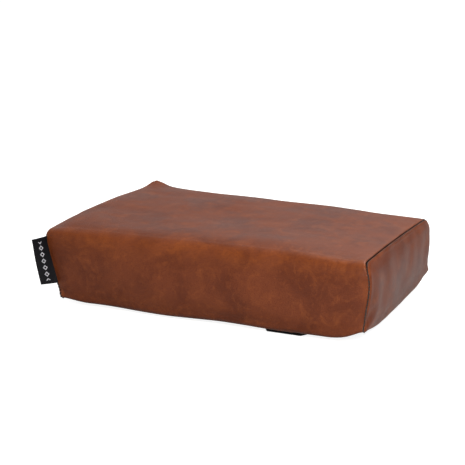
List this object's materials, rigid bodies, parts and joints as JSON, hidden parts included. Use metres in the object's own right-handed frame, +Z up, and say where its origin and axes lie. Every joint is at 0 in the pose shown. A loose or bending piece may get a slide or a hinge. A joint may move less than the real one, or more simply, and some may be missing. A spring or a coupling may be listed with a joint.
{
  "type": "chair armrest pad",
  "caption": "Rectangular padded armrest cushion in brown leatherette with a zipped back, a woven side label and two hook-and-loop straps under its base.",
  "frame": {"origin": "centre of the underside's base fabric, where the pad meets the arm of the chair", "axes": "+X along the pad's length, away from the woven label; +Y across the pad towards its zipped back; +Z up, out of the face the forearm rests on"},
  "size_m": [0.3099, 0.2165, 0.0691],
  "materials": {
    "leatherette": "satin",
    "base_fabric": "matte",
    "wadding": "matte",
    "firm_foam": "matte",
    "soft_foam": "matte",
    "woven_label": "satin",
    "thread": "satin",
    "black_thread": "satin",
    "loop_tape": "matte",
    "hook_tape": "satin",
    "webbing": "matte",
    "zip_tape": "matte",
    "zip_coil": "satin",
    "zip_metal": "satin"
  },
  "bodies": {
    "pad": {"back_lower_strip": "leatherette", "base_panel": "base_fabric", "base_seam_thread": "thread", "comfort_foam": "soft_foam", "end_panel_left": "leatherette", "end_panel_right": "leatherette", "end_seam_thread_left": "thread", "end_seam_thread_right": "thread", "foam_core": "firm_foam", "main_panel": "leatherette", "strap_left_loop": "loop_tape", "strap_left_root": "webbing", "strap_left_stitching": "black_thread", "strap_right_loop": "loop_tape", "strap_right_root": "webbing", "strap_right_stitching": "black_thread", "wadding_wrap": "wadding", "zip_coil_lower": "zip_coil", "zip_coil_upper": "zip_coil", "zip_tape_lower": "zip_tape", "zip_tape_upper": "zip_tape"},
    "label": {"label": "woven_label"},
    "strap_left_tail": {"strap_left_tail": "webbing", "strap_left_hook": "hook_tape"},
    "strap_right_tail": {"strap_right_tail": "webbing", "strap_right_hook": "hook_tape"},
    "zip_slider": {"zip_slider": "zip_metal"},
    "zip_pull": {"zip_pull": "zip_metal"}
  },
  "joints": [
    {"name": "strap_left_peel", "type": "hinge", "parent": "pad", "child": "strap_left_tail", "pos_m": [-0.075, 0.0854, -0.00335], "axis": [1, 0, 0], "range_deg": [0, 110]},
    {"name": "strap_right_peel", "type": "hinge", "parent": "pad", "child": "strap_right_tail", "pos_m": [0.075, 0.0854, -0.00335], "axis": [1, 0, 0], "range_deg": [0, 110]},
    {"name": "zip_slide", "type": "slide", "parent": "pad", "child": "zip_slider", "axis": [1, 0, 0], "range_m": [-0.276, 0]},
    {"name": "zip_pull_swing", "type": "hinge", "parent": "zip_slider", "child": "zip_pull", "pos_m": [0.138, 0.1022, 0.032], "axis": [0, 0, 1], "range_deg": [-170, 0]},
    {"name": "label_flex", "type": "hinge", "parent": "pad", "child": "label", "pos_m": [-0.1503, -0.1008, 0.038], "axis": [-0.2215, 0, 0.9751], "range_deg": [-55, 55], "stiffness_Nm_per_rad": 0.0005}
  ]
}
